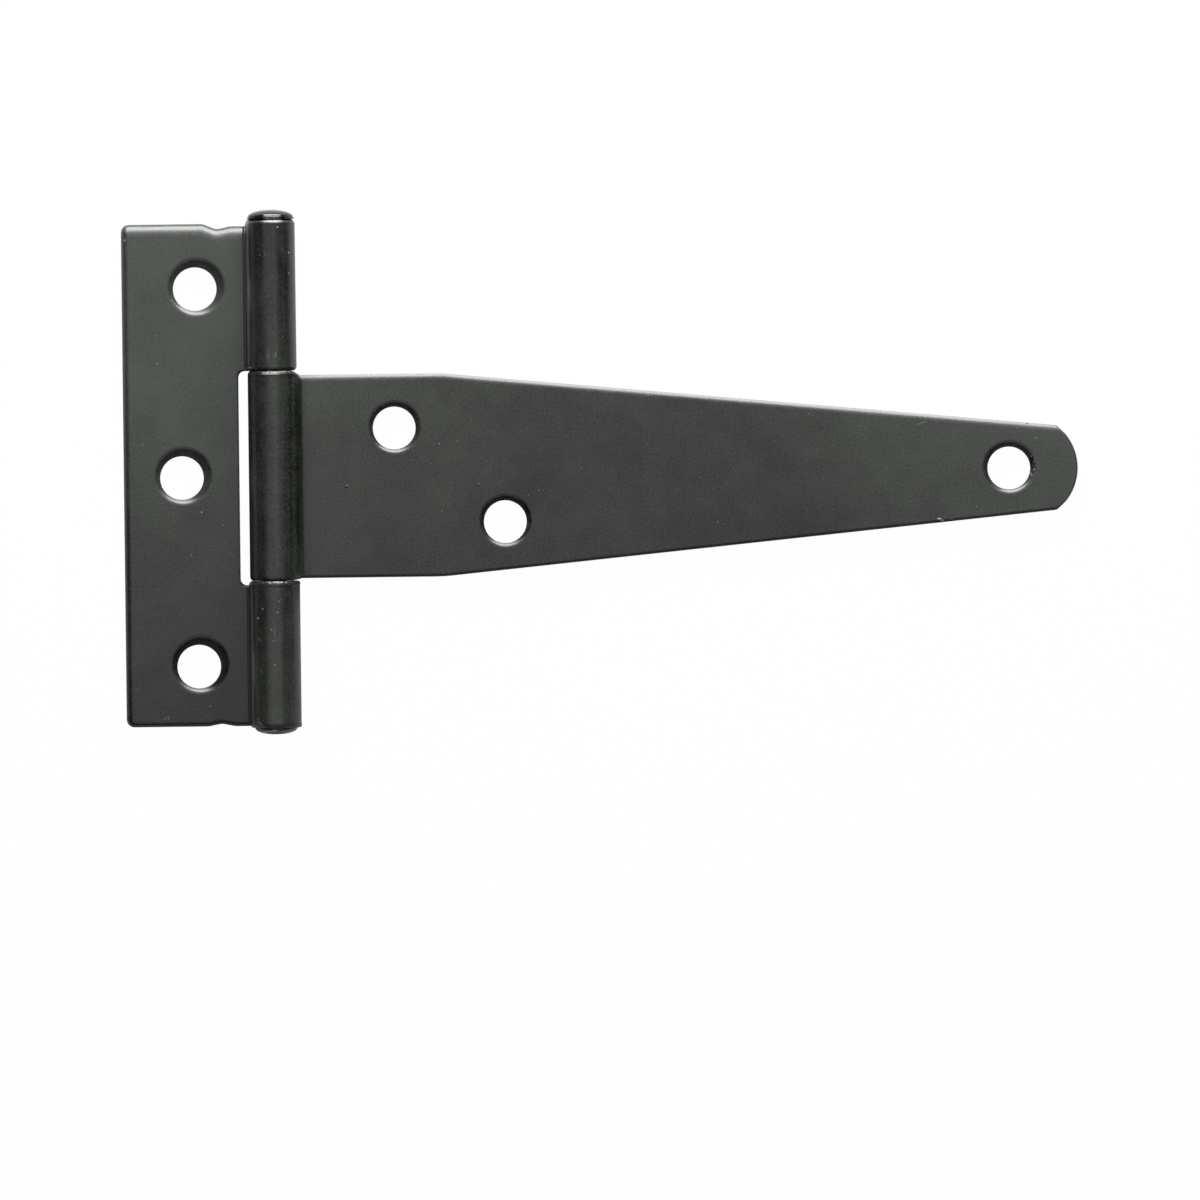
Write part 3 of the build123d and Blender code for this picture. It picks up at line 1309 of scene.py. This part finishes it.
@dataclass
class Studio:
    """The floor, the soft lights and the camera.

    The camera sees floor_white of the floor as plain white and the rest of it as a lit pale surface.
    """

    SOFTBOXES = (
        Softbox("overhead_softbox", (-10, 120, 600), width=800, height=700, radiance=1.05),
        Softbox("far_softbox", (45, 260, 105), width=300, height=190, radiance=19.5),
        Softbox("near_softbox", (45, -300, 330), width=500, height=170, radiance=1.2),
    )

    photo_size: int = 1200
    mm_per_pixel: float = 0.1264
    origin_pixel: Point = (273.8, 477.0)
    camera_distance: float = 2500.0
    camera_roll: float = 0.7
    sensor_width: float = 36.0
    floor_half_width: float = 3.0
    floor_white: float = 0.985
    room_light: float = 0.03

    def build(self) -> None:
        """Makes the floor, lights, world and camera."""
        self.floor()
        self.world()
        for softbox in self.SOFTBOXES:
            softbox.hang()
        self.camera()

    def floor(self) -> None:
        """Lays a pale floor under the hinge."""
        shape = bmesh.new()
        bmesh.ops.create_grid(shape, x_segments=1, y_segments=1, size=self.floor_half_width)
        floor = as_object(shape, "floor")
        graph = Graph(bpy.data.materials.new("pale_floor"))
        path = graph.add("ShaderNodeLightPath", {}, {}, "Is Camera Ray")
        plain = graph.add("ShaderNodeBsdfDiffuse", {}, {"Color": (0.5, 0.5, 0.5, 1)})
        glow = graph.add("ShaderNodeEmission", {}, {"Color": (1, 1, 1, 1), "Strength": 1.0})
        shown = graph.add("ShaderNodeMixShader", {}, {0: path * self.floor_white, 1: plain, 2: glow})
        graph.add("ShaderNodeOutputMaterial", {}, {"Surface": shown})
        floor.data.materials.append(graph.owner)

    def world(self) -> None:
        """Gives the room a dim even light and a white look."""
        world = bpy.data.worlds.new("room")
        bpy.context.scene.world = world
        graph = Graph(world)
        path = graph.add("ShaderNodeLightPath", {}, {}, "Is Camera Ray")
        strength = graph.add("ShaderNodeMapRange", {}, {"Value": path, "To Min": self.room_light})
        background = graph.add("ShaderNodeBackground", {}, {"Color": (1, 1, 1, 1), "Strength": strength})
        graph.add("ShaderNodeOutputWorld", {}, {"Surface": background})

    def camera(self) -> None:
        """Sets the camera straight above the middle of the picture."""
        half = self.photo_size / 2
        x = (half - self.origin_pixel[0]) * self.mm_per_pixel
        y = (self.origin_pixel[1] - half) * self.mm_per_pixel
        roll = math.radians(-self.camera_roll)
        centre = Vector((x, y)) @ Matrix.Rotation(-roll, 2)
        data = bpy.data.cameras.new("camera")
        data.sensor_width = self.sensor_width
        data.lens = self.sensor_width * self.camera_distance / (self.photo_size * self.mm_per_pixel)
        data.clip_start, data.clip_end = 0.01, 10.0
        camera = bpy.data.objects.new("camera", data)
        bpy.context.scene.collection.objects.link(camera)
        camera.location = (centre.x * MM, centre.y * MM, self.camera_distance * MM)
        camera.rotation_euler = (0, 0, roll)
        bpy.context.scene.camera = camera
        bpy.context.scene.view_settings.view_transform = "Standard"


def main() -> None:
    """Builds the hinge and its studio."""
    logging.basicConfig(level=logging.INFO, format="%(message)s")
    leaf_coating = BlackCoating("leaf_coating", marks=LEAF_MARKS)
    strap_coating = BlackCoating("strap_coating", marks=STRAP_MARKS)
    pin_coating = PinCoating("pin_coating", marks=PIN_MARKS)
    makers = ((CrossLeaf(), leaf_coating), (StrapLeaf(), strap_coating), (HingePin(), pin_coating))
    for maker, coating in makers:
        piece = maker.build()
        piece.data.materials.clear()
        piece.data.materials.append(coating.material())
        log.info("%s: %d faces", piece.name, len(piece.data.polygons))
    Studio().build()


if __name__ == "__main__":
    main()
